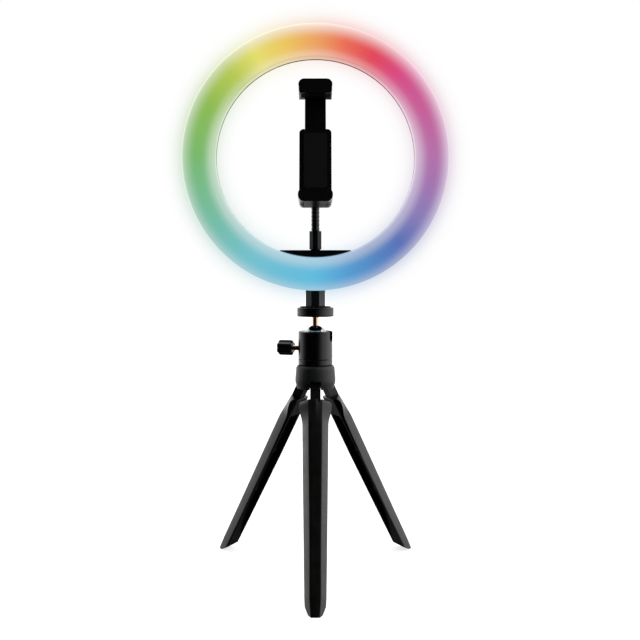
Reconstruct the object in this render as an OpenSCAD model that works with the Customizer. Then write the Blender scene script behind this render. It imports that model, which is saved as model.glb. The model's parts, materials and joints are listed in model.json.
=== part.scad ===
// Table-top ring light: a colour ring on a pocket tripod with a ball head and a phone clamp.
// Millimetres, +Z up, front towards -Y, floor at z = 0, origin under the middle of the footprint.

/* [Ring] */
// Outer radius of the ring
ring_r = 100; // [96:0.5:104]
// Radius of the hole through the ring
hole_r = 75; // [74:0.5:76]
// Height of the ring's centre above the floor
ring_z = 315.5; // [313:0.5:318]
// Depth of the ring from its back face to its crown
ring_depth = 20; // [19:0.5:22]
// Depth of the dark rear housing behind the milky cover
housing_depth = 5; // [5:0.5:6]
// Distance of the ring's back face in front of the tripod's axis
ring_back = 12; // [12:0.5:13]
// Corner radius of the milky cover's section
cover_corner = 8; // [6:0.5:9]
// Number of colour LEDs on the board
led_count = 60; // [30:6:72]

/* [Tripod] */
// Angle of a spread leg from the vertical, in degrees
leg_angle = 27.5; // [24:0.5:28]
// Height of the leg hinges above the floor
hinge_z = 143.5; // [140:0.5:146]
// Distance of the leg hinges from the tripod's axis
hinge_r = 9.5; // [9.5:0.1:10]
// Width of a leg at its shoulder
leg_w_top = 25.2; // [23:0.2:25.6]
// Width of a leg just above its foot
leg_w_end = 15.2; // [13:0.2:17]
// Thickness of a leg's hinge tongue, along the pin
tongue_w = 8; // [7:0.1:8.2]
// Largest radius of the hub
hub_r = 15.6; // [15:0.1:16]
// Height of the hub's top face
hub_top = 157; // [156:0.5:158]

/* [Ball head] */
// Radius of the barrel
barrel_r = 13.3; // [13:0.1:13.6]
// Height of the barrel's rim
barrel_top = 183.6; // [183:0.1:184]
// Radius of the chromed ball
ball_r = 9.6; // [9:0.1:9.7]
// Height of the ball's centre
ball_z = 178.8; // [178.5:0.1:179]
// Direction of the drop notch, in degrees from +X
notch_azimuth = -20; // [-40:1:-5]
// Height of the lock screw
lock_z = 170; // [169.8:0.1:171]
// Radius of the knurled lock wheel
wheel_r = 14.3; // [13:0.1:15]
// Height of the lock wheel's lower face
wheel_z = 195.1; // [194:0.1:195.4]
// Thickness of the lock wheel
wheel_h = 6.8; // [6.4:0.1:8]

/* [Post] */
// Width of the post
post_w = 15; // [14:0.1:15]
// Width of the post's flat front face
post_flat = 5.9; // [5:0.1:7]
// Height of the tilt hinge
tilt_z = 228; // [227:0.5:229]

/* [Phone holder] */
// Distance of the neck in front of the tripod's axis
neck_y = 20; // [19:0.5:21]
// Radius of the flexible neck
neck_r = 3.1; // [2.8:0.1:3.3]
// Height of the ledge on which the neck's collar stands
ledge_z = 245.8; // [245:0.1:246.5]
// Height of the neck's lowest bend
neck_z = 260.8; // [260:0.1:262]
// Length of one of the neck's three stretches
neck_step = 15; // [14:0.5:15]
// Backward lean of the clamp, in degrees
clamp_lean = 10; // [6:1:12]
// Opening between the clamp's jaws
clamp_gap = 77; // [70:1:80]
// Width of the jaws
jaw_w = 24.6; // [24:0.1:26]
// Height of the clamp's middle
clamp_z = 320; // [319.5:0.5:321]
// Distance of the clamp's front face from the tripod's axis
clamp_y = 41; // [40.5:0.5:42]

/* [Hidden] */
$fn = 64;
// Width of the gap that parts of one body leave between them
seam = 0.05;
// Gap beside a part that moves
gap = 0.3;
// Radial clearance of a running fit
fit = 0.05;

// Legs: hinge tongue, section and foot
tongue_r = 3.8;
pin_r = 1.5;
pin_half = 8;
leg_out = 5.7;
leg_in_top = -4.6;
leg_in_end = -2.6;
leg_flat = 9.2;
facet_slope = 1.5;
leg_out_top = 3.4;
leg_full_l = 34;
// Half the gap between the folded legs
leg_clear = 0.35;
shoulder_l = 13;
foot_l = 152;
leg_l = (hinge_z + leg_out * sin(leg_angle)) / cos(leg_angle);
foot_reach = hinge_r + leg_l * sin(leg_angle) + leg_out * cos(leg_angle);
foot_half = 5;
sole_w = 4;

// The tripod's axis stands behind the middle of the footprint
rear_reach = foot_reach * cos(60) + foot_half * sin(60);
axis_y = (foot_reach - rear_reach) / 2;

// Hub
hub_bottom = hinge_z - 4;
hub_cavity_r = 5.6;
bolt_r = 2.5;
bolt_head_r = 4.3;
bolt_head_z = 145;
bolt_ceiling = 149;

// Ball head
washer_h = 0.8;
base_z = hub_top + washer_h + 2 * seam;
base_flange = 4;
groove_h = 0.6;
barrel_z = base_z + base_flange + groove_h;
bore_r = ball_r + 0.15;
seat_r = ball_r + 0.08;
spigot_r = 9.4;
spigot_h = 4.1;
notch_w = 6.4;
stem_r = 2.5;
stud_r = 3.175;
stud_top = wheel_z + 17.2;
screw_r = 2;
knob_r = 6;
knob_l = 12.2;
knob_start = barrel_r + 5.3;
set_screw_r = 1.25;
set_screw_z = base_z + base_flange + 2.4;

// Lock wheel and post
pad_h = 0.8;
wheel_top = wheel_z + wheel_h;
post_z = wheel_top + pad_h + 0.2;
post_shoulder = tilt_z - 11.4;
insert_r = 4.6;
insert_h = 10;
knuckle_w = 7;
knuckle_r = 6.3;
knuckle_neck = 5.2;
tilt_bolt_r = 2;

// Ring, measured in depth forwards from the tripod's axis
split = ring_back + housing_depth;
crown = ring_back + ring_depth;
cover_wall = 1.6;
housing_wall = 1.8;
housing_corner = 3;
board_in = 82.8;
board_out = 96.4;
board_depth = 15.6;
board_t = 1.4;
led_r = 88.5;
led_w = 3.4;
screw_ring_r = 79.6;
housing_screw_angles = [0, 60, 120, 180, 240, 300];
bracket_front = ring_back - seam;
bracket_back = 8.2;
bracket_screw_x = 12.5;
bracket_screw_y = [-92, -79.5];
inlet_angle = -58;
inlet_r = 87.5;

// Neck and clamp
spigot_neck_r = 2.5;
collar_r = 4.5;
elbow_z = neck_z + 3 * neck_step;
elbow_r = 3.6;
half_gap = clamp_gap / 2;
spine_w = 23.4;
spine_t = 6.4;
cover_y = 4.45;
spine_top = 14;
jaw_t = 4.2;
jaw_reach = 12.2;
lip_t = 2.2;
lip_up = 4.8;
upper_jaw_h = 8.6;
upper_lip = 1.4;
pad_t = 0.8;
slot_w = 16;
bar_w = 15.4;
bar_t = 2.4;
bar_y = 1.7;
bar_bottom = -20;
joint_drop = -6;
small_ball_r = 4.5;
small_ball_y = spine_t + 7.1;
// Place of the small ball in the tripod's own axes
small_ball_fwd = clamp_y - small_ball_y * cos(clamp_lean) - joint_drop * sin(clamp_lean);
small_ball_up = clamp_z - small_ball_y * sin(clamp_lean) + joint_drop * cos(clamp_lean);

// ---------- frames ----------

module at_axis() {
    translate([0, axis_y, 0]) children();
}

// Local Z runs forwards out of the ring's face
module ring_frame() {
    at_axis() translate([0, 0, ring_z]) rotate([90, 0, 0]) children();
}

// Local X runs outwards from the hinge and the leg hangs along -Z
module leg_frame(azimuth) {
    at_axis() rotate([0, 0, azimuth]) translate([hinge_r, 0, hinge_z])
        rotate([0, -leg_angle, 0]) children();
}

// Local X runs out of the barrel towards the given direction
module head_frame(azimuth, z) {
    at_axis() translate([0, 0, z]) rotate([0, 0, azimuth]) rotate([0, 90, 0]) children();
}

// Local Y is 0 on the clamp's front face and Z runs up the phone
module clamp_frame() {
    at_axis() translate([0, -clamp_y, clamp_z]) rotate([-clamp_lean, 0, 0]) children();
}

// Clamp parts drawn as front views and pushed back from y0 to y1
module front_view(y0, y1) {
    translate([0, y1, 0]) rotate([90, 0, 0]) linear_extrude(y1 - y0) children();
}

// ---------- shared shapes ----------

module rounded_rect(x0, x1, y0, y1, r) {
    translate([x0 + r, y0]) square([x1 - x0 - 2 * r, y1 - y0]);
    translate([x0, y0 + r]) square([x1 - x0, y1 - y0 - 2 * r]);
    for (x = [x0 + r, x1 - r], y = [y0 + r, y1 - r]) translate([x, y]) circle(r);
}

module tube(r_out, r_in, z0, z1) {
    translate([0, 0, z0]) difference() {
        cylinder(r = r_out, h = z1 - z0);
        translate([0, 0, -1]) cylinder(r = r_in, h = z1 - z0 + 2);
    }
}

// ---------- tripod ----------

module tripod_hub() {
    color("#2b2d2e") at_axis() difference() {
        rotate_extrude() polygon([[0, hub_bottom], [hub_r - 1.3, hub_bottom], [hub_r, hinge_z + 1],
            [hub_r, hinge_z + 3.5], [hub_r - 0.7, hub_top - 1.5], [hub_r - 1.8, hub_top], [0, hub_top]]);
        translate([0, 0, hub_bottom - 1]) cylinder(r = hub_cavity_r, h = bolt_ceiling - hub_bottom + 1);
        cylinder(r = bolt_r + fit, h = hub_top + 1);
        for (a = [-90, 30, 150]) rotate([0, 0, a]) {
            // slot for the tongue, with a rounded pocket above the hinge
            translate([hub_cavity_r - 1, -tongue_w / 2 - gap, hub_bottom - 1])
                cube([hub_r, tongue_w + 2 * gap, hinge_z + 2.3 - hub_bottom + 1]);
            translate([hinge_r, tongue_w / 2 + gap, hinge_z]) rotate([90, 0, 0])
                cylinder(r = tongue_r + 0.6, h = tongue_w + 2 * gap);
            // blind holes for the hinge pin's ends
            translate([hinge_r, pin_half + 0.2, hinge_z]) rotate([90, 0, 0])
                cylinder(r = pin_r + seam, h = 2 * pin_half + 0.4);
        }
    }
}

module hub_bolt() {
    color("#8d8f92") at_axis() difference() {
        union() {
            translate([0, 0, bolt_head_z]) cylinder(r = bolt_head_r, h = bolt_ceiling - seam - bolt_head_z);
            translate([0, 0, bolt_head_z]) cylinder(r = bolt_r, h = base_z + spigot_h + 2 - bolt_head_z);
        }
        translate([0, 0, bolt_head_z - 1]) cylinder(r = 2.3, h = 3.4, $fn = 6);
    }
}

module friction_washer() {
    color("#151515") at_axis() tube(12.8, 5, hub_top + seam, hub_top + seam + washer_h);
}

module leg_silhouette() {
    half_top = leg_w_top / 2;
    half_end = leg_w_end / 2;
    waist = half_top - 2.6;
    polygon([[-half_top + 3.2, -shoulder_l], [-half_top + 0.7, -shoulder_l - 1.4],
        [-half_top, -shoulder_l - 4.2], [-half_top + 0.8, -shoulder_l - 8], [-waist, -shoulder_l - 15],
        [-half_end, -foot_l], [half_end, -foot_l],
        [waist, -shoulder_l - 15], [half_top - 0.8, -shoulder_l - 8], [half_top, -shoulder_l - 4.2],
        [half_top - 0.7, -shoulder_l - 1.4], [half_top - 3.2, -shoulder_l]]);
}

module leg_side() {
    polygon([[leg_in_top, -shoulder_l], [leg_in_end, -leg_l - 4], [leg_out, -leg_l - 4],
        [leg_out, -leg_full_l], [leg_out_top, -shoulder_l]]);
}

// Flat front between two sloping facets, and inner facets that let the three legs fold together
module leg_section(z0, z1) {
    flat = leg_flat / 2;
    third = tan(60);
    wide_x = (flat + leg_out / facet_slope + leg_clear - third * hinge_r) / (third + 1 / facet_slope);
    wide = flat + (leg_out - wide_x) / facet_slope;
    deep_x = -7;
    deep = third * (deep_x + hinge_r) - leg_clear;
    translate([0, 0, z0]) linear_extrude(z1 - z0) polygon([[leg_out, -flat], [leg_out, flat],
        [wide_x, wide], [deep_x, deep], [deep_x, -deep], [wide_x, -wide]]);
}

module leg(azimuth) {
    color("#1d1e1f") leg_frame(azimuth) difference() {
        union() {
            intersection() {
                translate([-10, 0, 0]) rotate([90, 0, 90]) linear_extrude(20) leg_silhouette();
                translate([0, 20, 0]) rotate([90, 0, 0]) linear_extrude(40) leg_side();
                leg_section(-leg_l, 0);
            }
            // tongue with its round top, and the tenon for the foot
            translate([0, tongue_w / 2, 0]) rotate([90, 0, 0]) linear_extrude(tongue_w) {
                circle(tongue_r);
                translate([-tongue_r, -shoulder_l - 5]) square([2 * tongue_r, shoulder_l + 5]);
            }
            translate([1, -3.5, -foot_l - 5]) cube([3, 7, 8]);
        }
        // pin bore
        translate([0, tongue_w, 0]) rotate([90, 0, 0]) cylinder(r = pin_r + fit, h = 2 * tongue_w);
        // channel down the inner side, with three deeper windows in its floor
        translate([-9, 0, 0]) rotate([90, 0, 90]) linear_extrude(7.4)
            polygon([[-6.9, -shoulder_l - 15], [6.9, -shoulder_l - 15], [4.9, -foot_l + 5], [-4.9, -foot_l + 5]]);
        for (i = [0:2]) translate([-8, 0, 0]) rotate([90, 0, 90]) linear_extrude(8.4) {
            top = -shoulder_l - 16 - 38 * i;
            half = 6.3 - 0.75 * i;
            polygon([[-half, top], [half, top], [half - 0.7, top - 34], [0.7 - half, top - 34]]);
        }
    }
}

module leg_pin(azimuth) {
    color("#9a9a9a") leg_frame(azimuth) translate([0, pin_half, 0]) rotate([90, 0, 0])
        cylinder(r = pin_r, h = 2 * pin_half);
}

module foot(azimuth) {
    color("#121212") intersection() {
        leg_frame(azimuth) difference() {
            intersection() {
                translate([-10, 0, 0]) rotate([90, 0, 90]) linear_extrude(20) polygon([
                    [-leg_w_end / 2, -foot_l - seam], [-leg_w_end / 2 + 0.2, -foot_l - 5], [-foot_half, -leg_l],
                    [-foot_half, -leg_l - 3], [foot_half, -leg_l - 3], [foot_half, -leg_l],
                    [leg_w_end / 2 - 0.2, -foot_l - 5], [leg_w_end / 2, -foot_l - seam]]);
                translate([0, 20, 0]) rotate([90, 0, 0]) linear_extrude(40) leg_side();
                leg_section(-leg_l - 4, -foot_l);
            }
            translate([1 - seam, -3.5 - seam, -foot_l - 5 - seam]) cube([3 + 2 * seam, 7 + 2 * seam, 8]);
        }
        // the sole lies on the floor and rises at its inner edge
        at_axis() rotate([0, 0, azimuth]) translate([0, 20, 0]) rotate([90, 0, 0]) linear_extrude(40)
            polygon([[foot_reach + 5, 0], [foot_reach - sole_w, 0], [foot_reach - sole_w - 12, 6],
                [foot_reach - 30, 40], [foot_reach + 5, 40]]);
    }
}

module front_leg() { leg(-90); }
module left_leg() { leg(150); }
module right_leg() { leg(30); }
module front_leg_pin() { leg_pin(-90); }
module left_leg_pin() { leg_pin(150); }
module right_leg_pin() { leg_pin(30); }
module front_foot() { foot(-90); }
module left_foot() { foot(150); }
module right_foot() { foot(30); }

// ---------- ball head ----------

module head_base() {
    color("#232425") at_axis() difference() {
        union() {
            translate([0, 0, base_z]) cylinder(r = barrel_r, h = base_flange);
            translate([0, 0, base_z]) cylinder(r = spigot_r, h = base_flange + spigot_h);
        }
        translate([0, 0, base_z - 1]) cylinder(r = bolt_r + fit, h = spigot_h + 4.2);
    }
}

module head_barrel() {
    color("#1b1c1d") difference() {
        at_axis() difference() {
            rotate_extrude() polygon([[0, barrel_z], [barrel_r, barrel_z], [barrel_r, barrel_top - 0.6],
                [barrel_r - 0.6, barrel_top], [0, barrel_top]]);
            translate([0, 0, barrel_z - 1]) cylinder(r = bore_r, h = ball_z - barrel_z + 1);
            translate([0, 0, ball_z]) sphere(r = seat_r, $fn = 96);
            translate([0, 0, ball_z]) cylinder(r = 8.5, h = 20);
            // drop notch for the stem, round at its foot
            rotate([0, 0, notch_azimuth]) translate([0, -notch_w / 2, ball_z]) cube([20, notch_w, 20]);
        }
        head_frame(notch_azimuth, ball_z) cylinder(r = notch_w / 2, h = 20);
        head_frame(notch_azimuth + 180, lock_z) cylinder(r = screw_r + fit, h = 20);
        head_frame(-4, set_screw_z) cylinder(r = set_screw_r + seam, h = 20);
    }
}

module pressure_pad() {
    color("#d8d8d2") difference() {
        at_axis() difference() {
            translate([0, 0, base_z + base_flange + spigot_h + 0.3]) cylinder(r = spigot_r - 0.1, h = 6);
            translate([0, 0, ball_z]) sphere(r = seat_r, $fn = 96);
        }
        head_frame(notch_azimuth + 180, lock_z) translate([0, 0, 7]) cylinder(r1 = 1, r2 = 2.6, h = 3);
    }
}

module base_set_screw() {
    color("#3a3a3a") head_frame(-4, set_screw_z) translate([0, 0, spigot_r + seam])
        cylinder(r = set_screw_r, h = barrel_r - spigot_r - 0.4);
}

module lock_screw() {
    color("#b07d4f") head_frame(notch_azimuth + 180, lock_z) {
        translate([0, 0, 8.9]) cylinder(r = screw_r, h = knob_start + 6 - 8.9);
        translate([0, 0, 7.9]) cylinder(r1 = 1, r2 = screw_r, h = 1);
    }
}

module lock_knob() {
    color("#161616") head_frame(notch_azimuth + 180, lock_z) difference() {
        translate([0, 0, knob_start]) cylinder(r = knob_r, h = knob_l);
        for (i = [0:5]) rotate([0, 0, 60 * i + 30]) translate([knob_r + 1.3, 0, knob_start - 1])
            cylinder(r = 2.2, h = knob_l + 2, $fn = 32);
        translate([0, 0, knob_start - 1]) cylinder(r = screw_r + seam, h = 7 + seam);
    }
}

module ball_stud() {
    color("#e4e4e4") at_axis() {
        translate([0, 0, ball_z]) sphere(r = ball_r, $fn = 96);
        translate([0, 0, ball_z]) cylinder(r = stem_r, h = wheel_z - ball_z);
        translate([0, 0, wheel_z - 0.6]) cylinder(r = stud_r, h = stud_top - wheel_z + 0.6);
    }
}

module lock_wheel() {
    color("#202122") at_axis() difference() {
        rotate_extrude($fn = 96) polygon([[stud_r + fit, wheel_z], [wheel_r - 0.7, wheel_z],
            [wheel_r, wheel_z + 0.7], [wheel_r, wheel_top - 0.7], [wheel_r - 0.7, wheel_top],
            [stud_r + fit, wheel_top]]);
        for (i = [0:35]) rotate([0, 0, 10 * i]) translate([wheel_r + 0.35, 0, wheel_z + 1.2])
            cylinder(r = 0.7, h = wheel_h - 2.4, $fn = 16);
    }
}

module wheel_pad() {
    color("#111111") at_axis() tube(12, 5, wheel_top + seam, wheel_top + pad_h);
}

// ---------- post ----------

module post_section() {
    h = post_w / 2;
    f = post_flat / 2;
    polygon([[-f, -h], [f, -h], [h, -f], [h, f], [f, h], [-f, h], [-h, f], [-h, -f]]);
}

module post() {
    color("#1a1b1c") at_axis() difference() {
        union() {
            translate([0, 0, post_z]) linear_extrude(post_shoulder - post_z) post_section();
            translate([-knuckle_w / 2, -knuckle_neck, post_shoulder - 1])
                cube([knuckle_w, 2 * knuckle_neck, tilt_z - post_shoulder + 1]);
            translate([-knuckle_w / 2, 0, tilt_z]) rotate([0, 90, 0]) cylinder(r = knuckle_r, h = knuckle_w);
        }
        translate([0, 0, post_z - 1]) cylinder(r = insert_r + seam, h = insert_h + 1.2);
        translate([-post_w, 0, tilt_z]) rotate([0, 90, 0]) cylinder(r = tilt_bolt_r + fit, h = 2 * post_w);
    }
}

module thread_insert() {
    color("#c9a04a") at_axis() tube(insert_r, stud_r + fit, post_z + 0.1, post_z + insert_h);
}

module tilt_bolt() {
    color("#b5b5b5") at_axis() translate([0, 0, tilt_z]) rotate([0, 90, 0]) difference() {
        union() {
            translate([0, 0, -post_w / 2 - seam - 3]) cylinder(r = 3.6, h = 3);
            translate([0, 0, -post_w / 2 - seam - 3]) cylinder(r = tilt_bolt_r, h = post_w + 3 + 4.5);
        }
        translate([0, 0, -post_w / 2 - seam - 4]) cylinder(r = 1.7, h = 2.8, $fn = 6);
    }
}

module tilt_nut() {
    color("#b5b5b5") at_axis() translate([post_w / 2 + seam, 0, tilt_z]) rotate([0, 90, 0]) difference() {
        cylinder(r = 4, h = 3.2, $fn = 6);
        translate([0, 0, -1]) cylinder(r = tilt_bolt_r + seam, h = 6);
    }
}

// ---------- ring ----------

module mount_bracket() {
    lug = (post_w - knuckle_w) / 2 - gap;
    color("#141516") difference() {
        union() {
            // plate behind the band, widening to the ledge
            ring_frame() translate([0, 0, bracket_back]) linear_extrude(bracket_front - bracket_back)
                polygon([[-11, -95.5], [11, -95.5], [17, -92], [17, -79], [27, ledge_z - ring_z],
                    [-27, ledge_z - ring_z], [-17, -79], [-17, -92]]);
            // ledge that fills the foot of the hole
            ring_frame() intersection() {
                translate([0, 0, bracket_back]) cylinder(r = hole_r - gap, h = 18, $fn = 128);
                translate([-27, ledge_z - ring_z - 20, bracket_back]) cube([54, 20, 18]);
            }
            // two ears around the post's knuckle
            for (side = [-1, 1]) at_axis() translate([side * (knuckle_w / 2 + gap + lug / 2), 0, tilt_z]) {
                rotate([0, 90, 0]) cylinder(r = knuckle_r + 0.2, h = lug, center = true);
                translate([-lug / 2, -bracket_back - 1, -knuckle_r - 0.2])
                    cube([lug, bracket_back + 1, 2 * knuckle_r + 0.4]);
            }
        }
        at_axis() translate([-20, 0, tilt_z]) rotate([0, 90, 0]) cylinder(r = tilt_bolt_r + seam, h = 40);
        ring_frame() for (x = [-bracket_screw_x, bracket_screw_x], y = bracket_screw_y)
            translate([x, y, 0]) cylinder(r = 1.5, h = 40, $fn = 32);
        at_axis() translate([0, -neck_y, ledge_z - 4.3]) cylinder(r = spigot_neck_r + fit, h = 10);
    }
}

module bracket_screws() {
    color("#9c9c9c") ring_frame() for (x = [-bracket_screw_x, bracket_screw_x], y = bracket_screw_y)
        translate([x, y, 0]) {
            translate([0, 0, bracket_back - 1.6 - seam]) cylinder(r = 2.6, h = 1.6, $fn = 32);
            translate([0, 0, bracket_back - 1]) cylinder(r = 1.3, h = 7.6, $fn = 32);
        }
}

// Section of the housing: a shallow tray with round back corners
module housing_section(inset) {
    r0 = hole_r + inset;
    r1 = ring_r - inset;
    z0 = ring_back + inset;
    c = housing_corner - inset;
    translate([r0 + c, z0]) square([r1 - r0 - 2 * c, split - z0 + inset]);
    translate([r0, z0 + c]) square([r1 - r0, split - z0 - c + inset]);
    for (r = [r0 + c, r1 - c]) translate([r, z0 + c]) circle(c);
}

module rear_housing() {
    color("#19191a") ring_frame() difference() {
        union() {
            rotate_extrude($fn = 180) difference() {
                intersection() {
                    housing_section(0);
                    translate([0, 0]) square([ring_r + 1, split]);
                }
                housing_section(housing_wall);
            }
            // screw bosses
            for (a = housing_screw_angles) rotate([0, 0, a]) translate([screw_ring_r, 0, ring_back + 1])
                cylinder(r = 2.6, h = board_depth - ring_back - 1.2, $fn = 32);
            for (x = [-bracket_screw_x, bracket_screw_x], y = bracket_screw_y)
                translate([x, y, ring_back + 1]) cylinder(r = 2.8, h = board_depth - ring_back - 1.2, $fn = 32);
            // pod for the power inlet
            rotate([0, 0, inlet_angle]) translate([inlet_r, 0, ring_back - 4.6])
                linear_extrude(5) rounded_rect(-7, 7, -8, 8, 2);
        }
        for (a = housing_screw_angles) rotate([0, 0, a]) translate([screw_ring_r, 0, 0]) {
            cylinder(r = 1.5, h = 40, $fn = 32);
            cylinder(r = 2.7, h = ring_back + 1.2, $fn = 32);
        }
        for (x = [-bracket_screw_x, bracket_screw_x], y = bracket_screw_y)
            translate([x, y, 0]) cylinder(r = 1.3 + seam, h = 40, $fn = 32);
        // seat of the inlet's metal shell, open outwards
        rotate([0, 0, inlet_angle]) translate([inlet_r - 0.4, 0, ring_back - 2.3]) rotate([0, 90, 0])
            linear_extrude(10) rounded_rect(-1.75, 1.75, -4.6, 4.6, 1.7);
    }
}

// Section of the cover: two round corners joined by a flat crown
module cover_section(inset) {
    r0 = hole_r + cover_corner;
    r1 = ring_r - cover_corner;
    c = cover_corner - inset;
    front = crown - inset;
    translate([r0, split + seam - inset]) square([r1 - r0, front - split - seam + inset]);
    translate([hole_r + inset, split + seam - inset])
        square([ring_r - hole_r - 2 * inset, crown - cover_corner - split - seam + inset]);
    for (r = [r0, r1]) translate([r, crown - cover_corner]) circle(c);
}

module front_diffuser() {
    color("#f2eef0") ring_frame() difference() {
        union() {
            rotate_extrude($fn = 180) difference() {
                cover_section(0);
                cover_section(cover_wall);
            }
            // screw posts inside the cover
            for (a = housing_screw_angles) rotate([0, 0, a]) translate([screw_ring_r, 0, board_depth])
                cylinder(r = 2.4, h = 12.6, $fn = 32);
        }
        for (a = housing_screw_angles) rotate([0, 0, a]) translate([screw_ring_r, 0, board_depth - 1])
            cylinder(r = 1.25, h = 9, $fn = 32);
    }
}

module led_board() {
    color("#f4f4f0") ring_frame() tube(board_out, board_in, board_depth, board_depth + board_t);
}

module leds() {
    color("#fff2a8") ring_frame() for (i = [0:led_count - 1]) rotate([0, 0, 360 * i / led_count])
        translate([led_r - led_w / 2, -led_w / 2, board_depth + board_t + 0.02]) cube([led_w, led_w, 1.2]);
}

module housing_screws() {
    color("#8f8f8f") ring_frame() for (a = housing_screw_angles) rotate([0, 0, a])
        translate([screw_ring_r, 0, 0]) {
            translate([0, 0, ring_back - 0.4]) cylinder(r = 2.4, h = 1.5, $fn = 32);
            translate([0, 0, ring_back]) cylinder(r = 1.2, h = 10.5, $fn = 32);
        }
}

module power_socket() {
    color("#c4c6c8") ring_frame() rotate([0, 0, inlet_angle])
        translate([inlet_r - 0.3, 0, ring_back - 2.3]) rotate([0, 90, 0]) {
            difference() {
                linear_extrude(7.2) rounded_rect(-1.65, 1.65, -4.5, 4.5, 1.6);
                translate([0, 0, 1]) linear_extrude(8) rounded_rect(-1.35, 1.35, -4.2, 4.2, 1.3);
            }
            translate([-0.35, -3.3, 0.5]) cube([0.7, 6.6, 5.6]);
        }
}

// ---------- neck ----------

module neck_collar() {
    color("#1c1d1e") at_axis() translate([0, -neck_y, 0]) {
        translate([0, 0, ledge_z - 4]) cylinder(r = spigot_neck_r, h = 5);
        translate([0, 0, ledge_z + 0.15]) cylinder(r = collar_r - 0.8, h = 4);
        difference() {
            translate([0, 0, ledge_z + 0.7]) rotate([0, 0, 22.5])
                cylinder(r = collar_r / cos(22.5), h = neck_z - 0.6 - ledge_z - 0.7, $fn = 8);
            translate([0, 0, neck_z]) sphere(r = neck_r + gap);
        }
        // ball on which the neck's lowest stretch bends
        translate([0, 0, neck_z - 4.5]) cylinder(r = 1.6, h = 4.5);
        translate([0, 0, neck_z]) sphere(r = neck_r - 0.4);
    }
}

// One stretch of the flexible neck: hollow foot over the ball below, ball on its top
module neck_stretch(index, ball_top) {
    z0 = neck_z + neck_step * index;
    foot = sqrt(pow(neck_r - 0.4 + gap, 2) - pow(neck_r - 0.4, 2)) + 0.4;
    color("#171717") at_axis() translate([0, -neck_y, z0]) {
        difference() {
            translate([0, 0, foot]) cylinder(r = neck_r, h = neck_step - foot - 2.4);
            sphere(r = neck_r - 0.4 + gap);
        }
        if (ball_top) {
            translate([0, 0, neck_step - 4.5]) cylinder(r = 1.6, h = 4.5);
            translate([0, 0, neck_step]) sphere(r = neck_r - 0.4);
        } else {
            translate([0, 0, neck_step - 4.5]) cylinder(r = neck_r, h = 4.5);
        }
    }
}

module gooseneck_lower() { neck_stretch(0, true); }
module gooseneck_middle() { neck_stretch(1, true); }
module gooseneck_upper() { neck_stretch(2, false); }

// Elbow that turns the neck forwards to the small ball
module gooseneck_end() {
    color("#1a1a1a") at_axis() {
        translate([0, -neck_y, elbow_z + seam]) cylinder(r = elbow_r + 0.6, h = 3);
        translate([0, -neck_y, elbow_z + seam]) cylinder(r = elbow_r, h = small_ball_up - elbow_z);
        translate([0, -neck_y, small_ball_up]) sphere(r = elbow_r);
        translate([0, -neck_y, small_ball_up]) rotate([90, 0, 0])
            cylinder(r = 2, h = small_ball_fwd - neck_y);
        translate([0, -small_ball_fwd, small_ball_up]) sphere(r = small_ball_r);
    }
}

// ---------- phone clamp ----------

// Local Z runs backwards along the socket's axis
module socket_frame() {
    clamp_frame() translate([0, 0, joint_drop]) rotate([-90, 0, 0]) children();
}

module ball_socket() {
    color("#222222") socket_frame() difference() {
        union() {
            translate([0, 0, cover_y + 0.3]) cylinder(r = 3, h = 3);
            translate([0, 0, spine_t + gap]) cylinder(r = 6.6, h = 1.7);
            translate([0, 0, spine_t + gap]) cylinder(r = 5.6, h = 8);
        }
        translate([0, 0, small_ball_y]) sphere(r = small_ball_r + 0.08);
        translate([0, 0, small_ball_y]) cylinder(r = 4.2, h = 5);
    }
}

module socket_nut() {
    color("#2a2a2a") socket_frame() difference() {
        tube(7.2, 5.7, spine_t + gap + 2, spine_t + gap + 7.8);
        for (i = [0:11]) rotate([0, 0, 30 * i]) translate([7.5, 0, 0]) cylinder(r = 0.8, h = 40, $fn = 16);
    }
}

module clamp_body() {
    half = spine_w / 2;
    base = -half_gap - pad_t - jaw_t;
    color("#0f1010") clamp_frame() difference() {
        union() {
            front_view(0, cover_y - seam) rounded_rect(-half, half, base, spine_top, 3);
            // lower jaw: ledge and raised lip, both with round ends
            front_view(-jaw_reach + lip_t, 1) intersection() {
                rounded_rect(-jaw_w / 2, jaw_w / 2, base, base + 9, 4.4);
                translate([-jaw_w, base]) square([2 * jaw_w, jaw_t]);
            }
            front_view(-jaw_reach, -jaw_reach + lip_t)
                rounded_rect(-jaw_w / 2, jaw_w / 2, base, base + jaw_t + pad_t + lip_up, 4.4);
        }
        // channel of the sliding bar, open at the top and the back
        translate([-slot_w / 2, 1.4, base + 2.5]) cube([slot_w, 10, spine_top - base]);
        // holes for the cover's screws
        for (x = [-1, 1], z = [base + 6, spine_top - 4])
            translate([x * (half - 1.9), 10, z]) rotate([90, 0, 0]) cylinder(r = 0.85, h = 8, $fn = 24);
    }
    // post on which the spring's coil turns
    color("#0f1010") clamp_frame() translate([0, bar_y + bar_t, base + 8.2]) rotate([90, 0, 0])
        cylinder(r = 1.8, h = bar_t + 0.5);
}

module clamp_cover() {
    half = spine_w / 2;
    base = -half_gap - pad_t - jaw_t;
    color("#161717") clamp_frame() difference() {
        front_view(cover_y, spine_t) rounded_rect(-half, half, base, spine_top, 3);
        translate([0, 20, joint_drop]) rotate([90, 0, 0]) cylinder(r = 3 + fit, h = 20);
        for (x = [-1, 1], z = [base + 6, spine_top - 4]) translate([x * (half - 1.9), 10, z])
            rotate([90, 0, 0]) {
                cylinder(r = 0.9, h = 8, $fn = 24);
                cylinder(r = 1.65, h = 10 - spine_t + 0.9, $fn = 24);
            }
    }
}

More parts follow.
